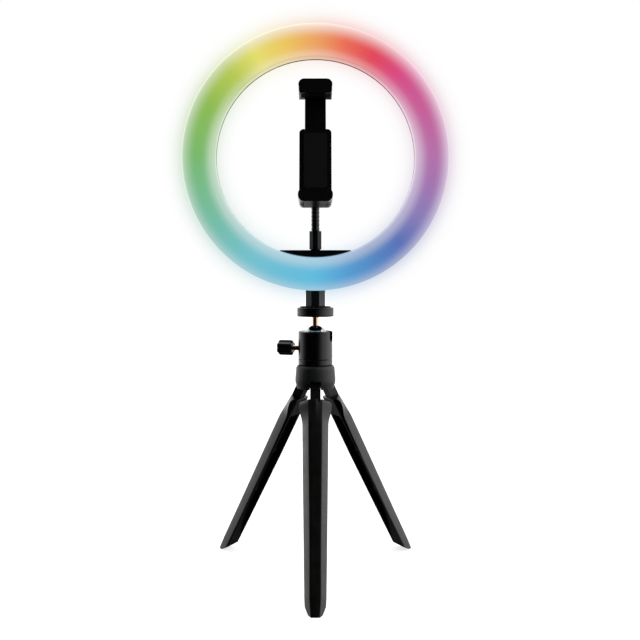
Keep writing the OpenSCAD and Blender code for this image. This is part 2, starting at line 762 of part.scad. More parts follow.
module clamp_screws() {
    half = spine_w / 2;
    base = -half_gap - pad_t - jaw_t;
    color("#9a9a9a") clamp_frame() for (x = [-1, 1], z = [base + 6, spine_top - 4])
        translate([x * (half - 1.9), spine_t - 0.1, z]) rotate([90, 0, 0]) {
            cylinder(r = 1.5, h = 0.7, $fn = 24);
            cylinder(r = 0.8, h = 4, $fn = 24);
        }
}

// Flat coil of spring steel that draws the upper jaw down
module clamp_spring() {
    base = -half_gap - pad_t - jaw_t;
    color("#a8a8a8") clamp_frame() translate([0, bar_y + bar_t, base + 8.2]) rotate([90, 0, 0])
        tube(4.8, 1.8 + fit, 0.1, bar_t);
}

module backrest_pad() {
    color("#1f1f1f") clamp_frame() front_view(-pad_t, -seam)
        rounded_rect(-8.5, 8.5, -half_gap + 8, spine_top - 3, 2);
}

module lower_jaw_pad() {
    color("#1f1f1f") clamp_frame() front_view(-jaw_reach + lip_t + 0.2, -pad_t - 0.2)
        translate([-10.5, -half_gap - pad_t + seam]) square([21, pad_t - seam]);
}

module upper_jaw() {
    top = half_gap + pad_t + upper_jaw_h;
    color("#101111") clamp_frame() {
        difference() {
            union() {
                // jaw with round upper corners
                front_view(-jaw_reach, spine_t) {
                    rounded_rect(-jaw_w / 2, jaw_w / 2, half_gap + pad_t, top, 4.2);
                    translate([-jaw_w / 2 + 0.3, half_gap + pad_t]) square([jaw_w - 0.6, 5]);
                }
                front_view(-jaw_reach, -jaw_reach + lip_t)
                    rounded_rect(-jaw_w / 2 + 0.5, jaw_w / 2 - 0.5, half_gap - upper_lip, top - 2, 1.2);
                // sliding bar, forked at its foot around the spring
                translate([-bar_w / 2, bar_y, bar_bottom]) cube([bar_w, bar_t, half_gap + 3 - bar_bottom]);
            }
            translate([-5.4, 0, bar_bottom - 1]) cube([10.8, 6, 14]);
        }
    }
}

module upper_jaw_pad() {
    color("#1f1f1f") clamp_frame() front_view(-jaw_reach + lip_t + 0.2, 0.8)
        translate([-10.5, half_gap]) square([21, pad_t - seam]);
}

tripod_hub();
hub_bolt();
friction_washer();
front_leg();
left_leg();
right_leg();
front_leg_pin();
left_leg_pin();
right_leg_pin();
front_foot();
left_foot();
right_foot();
head_base();
head_barrel();
pressure_pad();
base_set_screw();
lock_screw();
lock_knob();
ball_stud();
lock_wheel();
wheel_pad();
post();
thread_insert();
tilt_bolt();
tilt_nut();
mount_bracket();
bracket_screws();
rear_housing();
front_diffuser();
led_board();
leds();
housing_screws();
power_socket();
neck_collar();
gooseneck_lower();
gooseneck_middle();
gooseneck_upper();
gooseneck_end();
ball_socket();
socket_nut();
clamp_body();
clamp_cover();
clamp_screws();
clamp_spring();
backrest_pad();
lower_jaw_pad();
upper_jaw();
upper_jaw_pad();
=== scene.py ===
import json
import math

import bmesh
import bpy
from mathutils import Matrix, Vector


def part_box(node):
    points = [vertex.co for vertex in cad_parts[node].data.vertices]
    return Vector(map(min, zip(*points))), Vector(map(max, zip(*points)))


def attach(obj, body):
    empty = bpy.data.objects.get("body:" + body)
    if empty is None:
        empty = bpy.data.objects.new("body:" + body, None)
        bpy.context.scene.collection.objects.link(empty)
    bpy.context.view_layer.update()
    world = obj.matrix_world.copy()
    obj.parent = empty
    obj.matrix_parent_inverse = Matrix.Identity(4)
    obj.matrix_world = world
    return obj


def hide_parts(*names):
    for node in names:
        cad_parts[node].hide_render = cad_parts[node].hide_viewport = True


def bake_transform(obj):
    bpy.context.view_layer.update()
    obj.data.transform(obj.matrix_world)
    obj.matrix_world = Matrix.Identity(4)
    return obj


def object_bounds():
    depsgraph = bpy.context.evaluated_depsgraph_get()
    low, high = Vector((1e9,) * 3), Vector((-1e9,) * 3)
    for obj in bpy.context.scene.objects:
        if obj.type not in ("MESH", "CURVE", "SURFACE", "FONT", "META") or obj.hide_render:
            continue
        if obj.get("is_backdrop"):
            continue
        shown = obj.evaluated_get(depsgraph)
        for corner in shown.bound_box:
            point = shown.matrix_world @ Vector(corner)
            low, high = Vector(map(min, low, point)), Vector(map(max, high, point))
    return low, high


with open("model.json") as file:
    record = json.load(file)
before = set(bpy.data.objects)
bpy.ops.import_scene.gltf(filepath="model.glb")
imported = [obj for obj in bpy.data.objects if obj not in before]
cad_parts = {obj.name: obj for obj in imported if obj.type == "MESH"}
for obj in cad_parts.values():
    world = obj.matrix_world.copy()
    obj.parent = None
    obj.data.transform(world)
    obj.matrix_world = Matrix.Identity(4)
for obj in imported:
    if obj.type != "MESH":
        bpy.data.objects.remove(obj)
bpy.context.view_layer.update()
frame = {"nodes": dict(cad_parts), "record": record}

MM = 0.001
NODES = frame["nodes"]
BODY_OF = {n: b for b, members in frame["record"]["behaviour"]["bodies"].items() for n in members}

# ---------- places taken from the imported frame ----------

AXIS_LOW, AXIS_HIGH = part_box("friction_washer")
AXIS_Y = (AXIS_LOW.y + AXIS_HIGH.y) / 2
AXIS = Matrix.Translation((0, AXIS_Y, 0))
RING_LOW, RING_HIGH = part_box("front_diffuser")
RING_Z = (RING_LOW.z + RING_HIGH.z) / 2
RING_R = (RING_HIGH.x - RING_LOW.x) / 2
# the ring's hole, mm
HOLE = 75.0
HOLE_R = HOLE * MM


# ---------- node trees ----------


def linear(rgb):
    """Linear colour of a display colour given as three numbers from 0 to 255."""
    shares = [c / 255 for c in rgb]
    return tuple(c / 12.92 if c <= 0.04045 else ((c + 0.055) / 1.055) ** 2.4 for c in shares)


class Graph:
    """A node tree with short calls. An input is given a number, a colour or another node's output."""

    def __init__(self, tree, family="ShaderNode"):
        self.tree = tree
        self.family = family

    def feed(self, socket, value):
        if isinstance(value, bpy.types.NodeSocket):
            self.tree.links.new(value, socket)
        else:
            socket.default_value = value

    def node(self, kind, inputs=None, **settings):
        """A new node with its settings, and its inputs by name or number."""
        made = self.tree.nodes.new(self.family + kind)
        for key, value in settings.items():
            setattr(made, key, value)
        for key, value in (inputs or {}).items():
            self.feed(made.inputs[key], value)
        return made

    def math(self, operation, *values):
        return self.node("Math", dict(enumerate(values)), operation=operation).outputs[0]

    def length(self, a, b):
        return self.math("SQRT", self.math("ADD", self.math("MULTIPLY", a, a), self.math("MULTIPLY", b, b)))

    def mix(self, share, one, two, how="MIX"):
        return self.node("Mix", {0: share, 6: one, 7: two}, data_type="RGBA", blend_type=how).outputs[2]

    def place(self):
        return self.node("TexCoord").outputs["Object"]

    def noise(self, place, scale, detail=4.0, rough=0.55):
        inputs = {"Vector": place, "Scale": scale, "Detail": detail, "Roughness": rough}
        return self.node("TexNoise", inputs).outputs["Fac"]

    def ramp(self, factor, stops):
        """Colour ramp through stops, each a position with a linear colour or a shade of grey."""
        made = self.node("ValToRGB", {"Fac": factor})
        elements = made.color_ramp.elements
        while len(elements) < len(stops):
            elements.new(0.5)
        for element, (at, colour) in zip(elements, stops):
            element.position = at
            element.color = (*(colour if isinstance(colour, tuple) else (colour,) * 3), 1)
        return made.outputs["Color"]

    def span(self, value, low, high, to_low=0.0, to_high=1.0):
        """The value's place between low and high, held within them and carried over to another span."""
        inputs = {"Value": value, "From Min": low, "From Max": high, "To Min": to_low, "To Max": to_high}
        return self.node("MapRange", inputs).outputs["Result"]

    def bump(self, height, distance, strength=1.0, under=None):
        inputs = {"Height": height, "Distance": distance, "Strength": strength}
        if under is not None:
            inputs["Normal"] = under
        return self.node("Bump", inputs).outputs["Normal"]


class Paint(Graph):
    """A new material's node tree, round its Principled shader."""

    def __init__(self, name):
        self.material = bpy.data.materials.new(name)
        self.material.use_nodes = True
        super().__init__(self.material.node_tree)
        self.shader = self.tree.nodes["Principled BSDF"]

    def shade(self, inputs):
        for key, value in inputs.items():
            self.feed(self.shader.inputs[key], value)
        return self.material


# ---------- finishes ----------


def finish_of(name, dark, light, rough, metallic=0.0, grain=900.0, grain_depth=0.03, marks=0.0, turned=0.0,
              brushed=None, specular=0.5, coat=0.0, coat_rough=0.1):
    """A moulded, painted or turned surface: two tones, changing gloss, fine grain, and faint scratches."""
    g = Paint(name)
    place = g.place()
    normal = g.bump(g.noise(place, grain, 3.0), grain_depth * MM)
    if turned:
        # fine rings left by turning, one above the other
        rings = g.node("TexWave", {"Vector": place, "Scale": turned, "Distortion": 0.4, "Detail": 2.0},
                       wave_type="BANDS", bands_direction="Z")
        normal = g.bump(rings.outputs["Fac"], 0.02 * MM, 0.6, normal)
    if brushed:
        stretched = g.node("Mapping", {"Vector": place, "Scale": brushed}).outputs["Vector"]
        normal = g.bump(g.noise(stretched, 160.0, 3.0), 0.02 * MM, 0.7, normal)
    if marks:
        cells = g.node("TexVoronoi", {"Vector": place, "Scale": 70.0}, feature="DISTANCE_TO_EDGE")
        scratch = g.span(cells.outputs["Distance"], 0.0, 0.02, 1.0, 0.0)
        faint = g.math("MULTIPLY", scratch, g.span(g.noise(place, 40.0), 0.55, 0.7))
        normal = g.bump(faint, -0.02 * MM, marks, normal)
    tone, gloss = g.noise(place, 55.0, 6.0, 0.6), g.noise(place, 126.5, 5.0)
    return g.shade({"Base Color": g.ramp(tone, [(0.3, linear(dark)), (0.7, linear(light))]),
                    "Roughness": g.span(gloss, 0.3, 0.7, *rough), "Normal": normal, "Metallic": metallic,
                    "Specular IOR Level": specular, "Coat Weight": coat, "Coat Roughness": coat_rough})


LOOKS = {
    "leg_plastic": finish_of("leg_plastic", (12, 10, 8), (20, 18, 16), (0.28, 0.40), grain=1400, marks=0.5),
    "hub_plastic": finish_of("hub_plastic", (40, 41, 41), (50, 51, 51), (0.42, 0.55), grain=1200, turned=420),
    "head_black": finish_of("head_black", (8, 6, 3), (13, 11, 7), (0.20, 0.30), grain=1600, turned=520,
                            specular=0.6),
    # the post's black, with its base colour lifted as painted reflection of the light its flat front reflects
    "post_black_painted_reflection": finish_of("post_black_painted_reflection", (22, 24, 24), (29, 31, 31), (0.30, 0.42), grain=1500, specular=0.6),
    "knob_plastic": finish_of("knob_plastic", (12, 11, 12), (22, 21, 22), (0.22, 0.34), grain=900),
    "gloss_black": finish_of("gloss_black", (11, 9, 8), (17, 15, 14), (0.20, 0.30), grain=500, grain_depth=0.01,
                             marks=0.4, specular=0.6, coat=0.25, coat_rough=0.3),
    "housing_plastic": finish_of("housing_plastic", (26, 26, 27), (36, 36, 37), (0.42, 0.56), grain=1100,
                                 grain_depth=0.05, marks=0.5),
    "neck_black": finish_of("neck_black", (10, 9, 7), (17, 16, 14), (0.24, 0.34), grain=1300, specular=0.6),
    "rubber": finish_of("rubber", (16, 16, 16), (26, 26, 26), (0.62, 0.8), grain=1500, grain_depth=0.06,
                        specular=0.3),
    "chrome": finish_of("chrome", (186, 186, 187), (198, 198, 198), (0.05, 0.12), 1.0, grain=400,
                        grain_depth=0.002),
    "steel": finish_of("steel", (150, 150, 150), (176, 176, 175), (0.22, 0.36), 1.0, grain=700,
                       grain_depth=0.01, brushed=(1, 1, 12)),
    "brass": finish_of("brass", (192, 138, 104), (214, 164, 126), (0.20, 0.34), 1.0, grain=700,
                       grain_depth=0.01),
    "stem_copper": finish_of("stem_copper", (236, 196, 168), (246, 214, 190), (0.14, 0.22), 1.0, grain=700,
                             grain_depth=0.006),
    "seat_plastic": finish_of("seat_plastic", (214, 214, 208), (226, 226, 220), (0.4, 0.5)),
    "board_white": finish_of("board_white", (232, 234, 230), (242, 243, 240), (0.3, 0.45)),
    "led_yellow": finish_of("led_yellow", (245, 222, 120), (252, 236, 150), (0.25, 0.4)),
}


# display colours round the ring, by degrees from its right-hand side over the top
# the lit band's:
LIT = [(0, (183, 114, 172)), (30, (206, 92, 150)), (45, (220, 75, 133)), (60, (229, 72, 90)),
       (75, (238, 112, 86)), (90, (239, 166, 99)), (105, (240, 200, 96)), (120, (232, 225, 112)),
       (135, (184, 204, 86)), (155, (142, 190, 84)), (180, (122, 187, 110)), (210, (120, 191, 164)),
       (240, (118, 196, 210)), (270, (98, 190, 226)), (285, (86, 160, 214)), (300, (84, 136, 198)),
       (315, (92, 116, 186)), (330, (140, 126, 186)), (345, (164, 118, 178)), (360, (183, 114, 172))]
# and the milky edges', pale tints of the lit colours with painted light, standing in for the studio light on
# the cover's white edges too:
PALE_WITH_PAINTED_LIGHT = [(0, (212, 186, 212)), (45, (236, 182, 204)), (60, (241, 192, 194)), (90, (250, 226, 210)),
        (120, (240, 236, 200)), (135, (214, 224, 180)), (180, (190, 216, 186)), (210, (188, 214, 204)),
        (240, (182, 214, 222)), (270, (170, 208, 228)), (300, (172, 184, 212)), (330, (192, 184, 214)),
        (360, (212, 186, 212))]
# share of the lit colour, from the edge of the hole (0) to the rim (1)
BAND = [(0.0, 0.05), (0.1, 0.18), (0.22, 0.62), (0.32, 0.93), (0.42, 1.0), (0.57, 1.0), (0.67, 0.85),
        (0.77, 0.56), (0.86, 0.27), (0.94, 0.08), (1.0, 0.0)]
# share that each place of the cover has in the glow round the ring, in the same way
GLOW_SHARE = [(0.0, 0.62), (0.4, 0.62), (0.6, 1.0), (1.0, 1.0)]
# painted shade on the hole's wall: share of the glow kept on the wall of the hole (0), which shows darker,
# rising to all of it on the face beside it, HOLE_EDGE further out (1)
HOLE_WALL_SHADE = [(0.0, 0.8), (0.2, 0.84), (1.0, 1.0)]
HOLE_EDGE, LIT_DROP, UPPER_GAIN = 0.7 * MM, 2.2 * MM, 0.12


def milky_cover():
    """Milky cover lit from behind by colour LEDs: the hue turns round the ring and pales at its edges, which
    carry painted studio light; the hole's wall has painted shade.
    """
    g = Paint("milky_cover")
    place = g.place()
    split = g.node("SeparateXYZ", {0: place}).outputs
    x, z = split["X"], g.math("SUBTRACT", split["Z"], RING_Z)
    # the part of a turn, a little uneven
    wander = g.math("MULTIPLY", g.math("SUBTRACT", g.noise(place, 26.0, 2.0), 0.5), 0.016)
    turn = g.math("ADD", g.math("DIVIDE", g.math("ARCTAN2", z, x), 2 * math.pi), wander)
    turn = g.math("FRACT", g.math("ADD", turn, 1.0))
    # the pale ramp also paints the studio light falling on the cover's white edges
    lit, pale_with_painted_light = [g.ramp(turn, [(angle / 360, linear(rgb)) for angle, rgb in hues]) for hues in (LIT, PALE_WITH_PAINTED_LIGHT)]
    # the lit band lies behind the cover's face, so from the front it shows a little lower
    across = g.span(g.length(x, g.math("ADD", z, LIT_DROP)), HOLE_R, RING_R)
    # its colour comes nearer to the hole's edge in the upper half
    inner = g.math("POWER", g.math("SUBTRACT", 1.0, across), 3.0)
    upper = g.span(z, 0.0, 0.6 * RING_R, 0.0, UPPER_GAIN)
    band = g.ramp(g.math("ADD", across, g.math("MULTIPLY", inner, upper)), BAND)
    # painted shade: the glow is dimmed on the hole's wall and on the edge beside it
    hole_wall_shade = g.ramp(g.span(g.length(x, z), HOLE_R, HOLE_R + HOLE_EDGE), HOLE_WALL_SHADE)
    # what the glow takes from the white room round the ring
    taken = g.node("Invert", {"Color": lit}).outputs["Color"]
    weighed = g.node("VectorMath", {0: taken, 1: g.ramp(across, GLOW_SHARE)}, operation="MULTIPLY").outputs[0]
    g.node("OutputAOV", {"Color": weighed}, aov_name="glow_taken")
    g.node("OutputAOV", {"Value": 1.0}, aov_name="glow_cover")
    return g.shade({"Emission Color": g.mix(1.0, g.mix(band, pale_with_painted_light, lit), hole_wall_shade, "MULTIPLY"),
                    "Emission Strength": 0.96, "Specular IOR Level": 0.22,
                    "Base Color": g.ramp(g.noise(place, 30.0), [(0.3, 0.035), (0.7, 0.05)]),
                    "Roughness": g.span(g.noise(place, 60.0), 0.3, 0.7, 0.24, 0.34),
                    "Normal": g.bump(g.noise(place, 1500.0, 2.0), 0.01 * MM)})


LOOKS["milky_cover"] = milky_cover()

SLOT_OF = {name: node.data.materials[0].name for name, node in NODES.items()}
for node in NODES.values():
    for i, held in enumerate(node.data.materials):
        node.data.materials[i] = LOOKS[held.name.split(".")[0]]


# ---------- building pieces ----------


def piece(name, bm, node, stands_for=(), body=None, crease=32.0, edge=0.0, edge_segments=2, look=None,
          slot=None):
    """A finished piece from a bmesh: smooth with crisp creases, and riding where its CAD node rides."""
    bmesh.ops.recalc_face_normals(bm, faces=bm.faces)
    mesh = bpy.data.meshes.new(name)
    bm.to_mesh(mesh)
    bm.free()
    made = bpy.data.objects.new(name, mesh)
    bpy.context.scene.collection.objects.link(made)
    slot = slot or SLOT_OF[node]
    mesh.materials.append(LOOKS[look or slot])
    mesh.shade_smooth()
    mesh.set_sharp_from_angle(angle=math.radians(crease))
    if edge:
        round_edges(made, edge, edge_segments, crease)
    if stands_for:
        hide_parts(*stands_for)
    if body is not False:
        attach(made, body or BODY_OF[node])
    return made


def round_edges(made, edge, segments, crease):
    bevel = made.modifiers.new("rounded_edges", "BEVEL")
    bevel.width = edge * MM
    bevel.segments = segments
    bevel.limit_method = "ANGLE"
    bevel.angle_limit = math.radians(crease)
    bevel.harden_normals = True
    bevel.miter_outer = "MITER_ARC"


def refined(node, edge, segments=2, crease=32.0, look=None):
    """The CAD node's own shape, joined up and with its edges rounded as moulded or machined parts have them."""
    bm = bmesh.new()
    bm.from_mesh(NODES[node].data)
    bmesh.ops.remove_doubles(bm, verts=bm.verts, dist=1e-7)
    bmesh.ops.dissolve_limit(bm, angle_limit=math.radians(0.6), verts=bm.verts, edges=bm.edges)
    return piece(node + "_finished", bm, node, (node,), crease=crease, edge=edge, edge_segments=segments,
                 look=look)


def turned(bm, profile, place=Matrix.Identity(4), steps=96, shape=None):
    """Closed outline of (radius, height) pairs in mm, turned about the local Z. shape changes a radius."""
    rings = []
    for k in range(steps):
        a = 2 * math.pi * k / steps
        ring = []
        for r, h in profile:
            rr = shape(r, h, a) if shape else r
            ring.append(bm.verts.new(place @ Vector((rr * math.cos(a) * MM, rr * math.sin(a) * MM, h * MM))))
        rings.append(ring)
    n = len(profile)
    for k in range(steps):
        one, two = rings[k], rings[(k + 1) % steps]
        for i in range(n):
            j = (i + 1) % n
            bm.faces.new((one[i], two[i], two[j], one[j]))
    bmesh.ops.remove_doubles(bm, verts=bm.verts, dist=1e-7)
    bmesh.ops.dissolve_degenerate(bm, edges=bm.edges, dist=1e-8)
    return bm


def lofted(bm, sections, place=Matrix.Identity(4)):
    """Closed sections with the same number of points (mm), joined in order and closed at both ends."""
    loops = [[bm.verts.new(place @ (Vector(p) * MM)) for p in s] for s in sections]
    n = len(loops[0])
    for one, two in zip(loops, loops[1:]):
        for i in range(n):
            j = (i + 1) % n
            bm.faces.new((one[i], one[j], two[j], two[i]))
    bm.faces.new(loops[0])
    bm.faces.new(list(reversed(loops[-1])))
    return bm


def arc(cx, cy, r, start, end, count):
    """Points of an arc, angles in degrees."""
    return [(cx + r * math.cos(math.radians(start + (end - start) * i / count)),
             cy + r * math.sin(math.radians(start + (end - start) * i / count))) for i in range(count + 1)]


def eased(corners, count=3):
    """Closed outline through corners given as (x, y, cut), each rounded over the length of its cut."""
    out = []
    for i, (x, y, cut) in enumerate(corners):
        at, before = Vector((x, y)), Vector(corners[i - 1][:2])
        after = Vector(corners[(i + 1) % len(corners)][:2])
        if not cut:
            out.append((x, y))
            continue
        one = at + (before - at).normalized() * cut
        two = at + (after - at).normalized() * cut
        for k in range(count + 1):
            t = k / count
            out.append(tuple(one * (1 - t) ** 2 + at * 2 * t * (1 - t) + two * t * t))
    return out


def smooth(t):
    """0 below 0 and 1 above 1, with a soft step between them."""
    t = max(0.0, min(1.0, t))
    return t * t * (3 - 2 * t)


# ---------- ring ----------

# the cover, mm: its back, its front, its rim, the radius of its rounded corners and the thickness of its wall
SPLIT, CROWN, RIM, CORNER, WALL = 17.05, 32.0, 100.0, 8.0, 1.6


def cover_outline():
    """Section of the cover, a U open to the back, as (radius, depth)."""
    sides = (0, 0.8, 3.5)
    outer = [(HOLE, SPLIT + up) for up in sides]
    outer += arc(HOLE + CORNER, CROWN - CORNER, CORNER, 180, 90, 14)
    outer += arc(RIM - CORNER, CROWN - CORNER, CORNER, 90, 0, 14)
    outer += [(RIM, SPLIT + up) for up in reversed(sides)]
    inner = [(RIM - WALL, SPLIT)] + arc(RIM - CORNER, CROWN - CORNER, CORNER - WALL, 0, 90, 8)
    inner += arc(HOLE + CORNER, CROWN - CORNER, CORNER - WALL, 90, 180, 8) + [(HOLE + WALL, SPLIT)]
    return outer + inner


RING = AXIS @ Matrix.Translation((0, 0, RING_Z)) @ Matrix.Rotation(math.radians(90), 4, "X")
piece("ring_cover", turned(bmesh.new(), cover_outline(), RING, 288), "front_diffuser", ("front_diffuser",))
refined("rear_housing", 0.25, crease=38)
refined("mount_bracket", 0.45, 3)

# ---------- tripod ----------

# the leg's hinge from the axis and the floor in mm, and the leg's lean in degrees
HINGE_R, HINGE_Z, LEG_ANGLE = 9.5, 143.5, 27.5
LEAN = math.radians(LEG_ANGLE)
# outer face from the hinge, across the leg: at the shoulder, and further down
LEG_OUT_TOP, LEG_OUT = 3.4, 5.7
# down the leg from its hinge: its shoulder, where the shoulder is widest, where the long taper starts, where
# the outer face is fully out, where the foot starts, and where the outer face meets the floor
SHOULDER_L, WIDEST_L, TAPER_L, LEG_FULL_L, FOOT_L = 13.0, 17.0, 28.0, 34.0, 152.0
LEG_L = (HINGE_Z + LEG_OUT * math.sin(LEAN)) / math.cos(LEAN)
# half widths of the leg: at its widest, where the taper starts and where the foot starts
SHOULDER_HALF, BLADE_HALF, ANKLE_HALF = 12.6, 10.0, 7.6
# half the seam between leg and foot, and the depth of the channel where it is shut
SEAM, SHUT = 0.02, 0.02
# folded legs meet at this slope, with this much room to the middle between them
MEET, MEET_ROOM = math.tan(math.radians(60)), 0.45
# degrees round the axis, from the right-hand side
LEGS = {"front": -90, "left": 150, "right": 30}


def leg_place(azimuth):
    return (AXIS @ Matrix.Rotation(math.radians(azimuth), 4, "Z")
            @ Matrix.Translation((HINGE_R * MM, 0, HINGE_Z * MM)) @ Matrix.Rotation(-LEAN, 4, "Y"))


def leg_half(l):
    """Half width of a leg at a distance from its hinge: a rounded shoulder that narrows to a long taper."""
    drop, rise, narrowing = 3.0, 4.2, 14.0
    base = BLADE_HALF - (BLADE_HALF - ANKLE_HALF) * (l - TAPER_L) / (FOOT_L - TAPER_L)
    if l < WIDEST_L:
        return SHOULDER_HALF - drop * (1 - math.sqrt(max(0.0, 1 - ((WIDEST_L - l) / rise) ** 2)))
    return base + (SHOULDER_HALF - base) * (1 - smooth((l - WIDEST_L) / narrowing))


def leg_faces(l):
    """Outer face, inner face and half width of the flat front at a distance from the hinge."""
    out = LEG_OUT_TOP + (LEG_OUT - LEG_OUT_TOP) * min(1.0, (l - SHOULDER_L) / (LEG_FULL_L - SHOULDER_L))
    inner = -4.6 + 2.0 * (l - SHOULDER_L) / (LEG_L + 4 - SHOULDER_L)
    return out, inner, 5.2 - 1.2 * smooth((l - 20) / 120)


def mirrored(right, l):
    """Section at a distance from the hinge, from its right half's (x, y, cut) corners, the middle one first."""
    outline = eased(right + [(x, -y, cut) for x, y, cut in reversed(right[1:])])
    return [(x, y, -l) for x, y in outline]


def leg_section(l, channel, shrink=0.0):
    """Section of a leg: flat front with a soft ridge at its top, steep facets, and a channel on the inside."""
    out, inner, f = leg_faces(l)
    w = leg_half(l) - shrink
    out, inner = out - shrink, inner + shrink
    c = min(2.0 * (w - f), out - inner - 1.0)
    ridge = 0.7 * (1 - smooth((l - 15) / 18))
    # the inner corners give way where the folded legs meet
    meet = MEET * (inner + HINGE_R) - MEET_ROOM
    deep = min(w, meet)
    give = max(0.0, w - meet) / MEET
    half = deep - 2.0
    front = [(out + ridge, 0, 0), (out + 0.8 * ridge, 1.0, 0), (out + 0.25 * ridge, 2.2, 0), (out, f, 0.7)]
    side = [(max(out - c, inner + give + 0.5), w, 0.35), (inner + 0.01, deep, 0.3)]
    return mirrored(front + side + [(inner, half, 0), (inner + channel, half - 0.5, 0)], l)


def leg_bmesh(azimuth):
    """A leg from its shoulder to its foot, with a channel on the inside and low ribs across the channel."""
    # how far out from the hinge, across the leg, the channel's floor and its ribs lie
    floor, rib = 0.2, -0.7

    def rib_at(l):
        return [(l - 3, floor), (l - 0.6, rib), (l + 0.6, rib), (l + 3, floor)]

    shoulder = [13.7, 14.3, 15.2, 16.2, 17.0] + [17 + 1.4 * i for i in range(1, 9)] + [28.5]
    channel = [(30.5, rib), (33.0, floor), (46.0, floor)] + rib_at(65.0) + [(84.0, floor)] + rib_at(103.0)
    channel += [(118.0, floor), (127.0, floor - 0.4)]
    rows = [leg_section(SHOULDER_L, SHUT, 0.35), leg_section(SHOULDER_L + 0.12, SHUT, 0.12)]
    rows += [leg_section(l, SHUT) for l in shoulder]
    rows += [leg_section(l, x - leg_faces(l)[1]) for l, x in channel]
    rows += [leg_section(l, SHUT) for l in (149.5, FOOT_L - SEAM)]
    return lofted(bmesh.new(), rows, leg_place(azimuth))


def tongue_bmesh(azimuth):
    """The leg's hinge tongue, with a round end about the hinge."""
    r, half, root = 3.8, 3.95, -17.0
    outline = arc(0, 0, r, 0, 180, 24) + [(-r, root), (r, root)]
    sections = [[(x, y, z) for x, z in outline] for y in (-half, half)]
    return lofted(bmesh.new(), sections, leg_place(azimuth))


def foot_section(l, w):
    """Section of a foot with half width w: as a leg's, with no channel and a front that narrows to the tip."""
    out, inner, f = leg_faces(l)
    f -= 1.0 * smooth((l - FOOT_L) / 14)
    c = min(2.0 * (w - f), out - inner - 1.0)
    return mirrored([(out, 0, 0), (out, f, 0.7), (out - c, w, 0.35), (inner, w, 0.3)], l)


def foot_bmesh(azimuth):
    """The foot: it narrows to its tip, with a flat sole on the floor and a slanted cut behind the sole."""
    widths = ((FOOT_L + SEAM, ANKLE_HALF), (FOOT_L + 5, 7.3), (LEG_L, 5.0), (LEG_L + 8, 5.0))
    bm = lofted(bmesh.new(), [foot_section(l, w) for l, w in widths], leg_place(azimuth))
    tip = HINGE_R + LEG_L * math.sin(LEAN) + LEG_OUT * math.cos(LEAN)
    turn = AXIS @ Matrix.Rotation(math.radians(azimuth), 4, "Z")
    for reach, normal in ((tip, (0, 0, -1)), (tip - 4, (-6, 0, -12))):
        cut = bmesh.ops.bisect_plane(bm, geom=bm.verts[:] + bm.edges[:] + bm.faces[:], dist=1e-7,
                                     plane_co=turn @ Vector((reach * MM, 0, 0)),
                                     plane_no=turn.to_3x3() @ Vector(normal).normalized(), clear_outer=True)
        rim = [e for e in cut["geom_cut"] if isinstance(e, bmesh.types.BMEdge)]
        bmesh.ops.edgeloop_fill(bm, edges=rim)
    return bm


for side, azimuth in LEGS.items():
    leg, foot = side + "_leg", side + "_foot"
    piece(leg + "_blade", leg_bmesh(azimuth), leg, (leg,), crease=30)
    piece(leg + "_tongue", tongue_bmesh(azimuth), leg, edge=0.3)
    piece(foot + "_tip", foot_bmesh(azimuth), foot, (foot,), crease=30, look="leg_plastic")
refined("tripod_hub", 0.18, 2)
refined("hub_bolt", 0.3)
refined("head_base", 0.3)
refined("head_barrel", 0.35, 3, crease=35)

# ---------- ball head ----------

# heights in mm; the lock screw comes out opposite the drop notch, given in degrees round the axis
NOTCH, LOCK_Z, WHEEL_Z, BALL_Z, STUD_TOP = -20.0, 170.0, 195.1, 178.8, 212.3
BALL_R, STEM_R, STUD_R, STUD_PITCH = 9.6, 2.5, 3.175, 1.27
LOCK_R, LOCK_PITCH, LOCK_THREAD = 2.0, 0.7, 0.3
KNOB_R, KNOB_LOBES, LOBE = 6.0, 6, 1.2
WHEEL_TEETH, TOOTH = 108, 0.09
LOCK = (AXIS @ Matrix.Translation((0, 0, LOCK_Z * MM)) @ Matrix.Rotation(math.radians(NOTCH + 180), 4, "Z")
        @ Matrix.Rotation(math.radians(90), 4, "Y"))


def lock_outline(start, end):
    """Half section of the lock screw, with V-shaped threads."""
    outline = [(0, start), (LOCK_R - 0.5, start)]
    h = start + 0.4
    while h + LOCK_PITCH < end:
        outline += [(LOCK_R, h), (LOCK_R - LOCK_THREAD, h + LOCK_PITCH / 2)]
        h += LOCK_PITCH
    return outline + [(LOCK_R, end), (0, end)]


def knob_shape(r, h, a):
    """Lobes round the knob, fading out towards its middle."""
    if r < 3:
        return r
    lobe = 0.5 + 0.5 * math.cos(KNOB_LOBES * a)
    return r - LOBE * (1 - lobe ** 0.7) * (r / KNOB_R)


def wheel_shape(r, h, a):
    """Fine teeth on the wheel's rim, between its two smooth edges."""
    if r < 14.15 or not 0.8 <= h - WHEEL_Z <= 5.8:
        return r
    wave = (a * WHEEL_TEETH / (2 * math.pi)) % 1.0
    return r - TOOTH * (1 - abs(2 * wave - 1))


def stem_outline(start):
    """Half section of the ball's stem: a plain neck under the wheel, and a thread with flat crests above it."""
    outline = [(0, start), (STEM_R, start), (STEM_R, WHEEL_Z - 0.9), (STUD_R - 0.35, WHEEL_Z - 0.6),
               (STUD_R - 0.3, WHEEL_Z)]
    h = WHEEL_Z + 0.3
    while h + STUD_PITCH < STUD_TOP - 0.6:
        outline += [(STUD_R, h), (STUD_R, h + 0.2), (STUD_R - 0.6, h + 0.65), (STUD_R - 0.6, h + 0.85)]
        h += STUD_PITCH
    return outline + [(STUD_R - 0.6, STUD_TOP - 0.5), (STUD_R - 1.0, STUD_TOP), (0, STUD_TOP)]


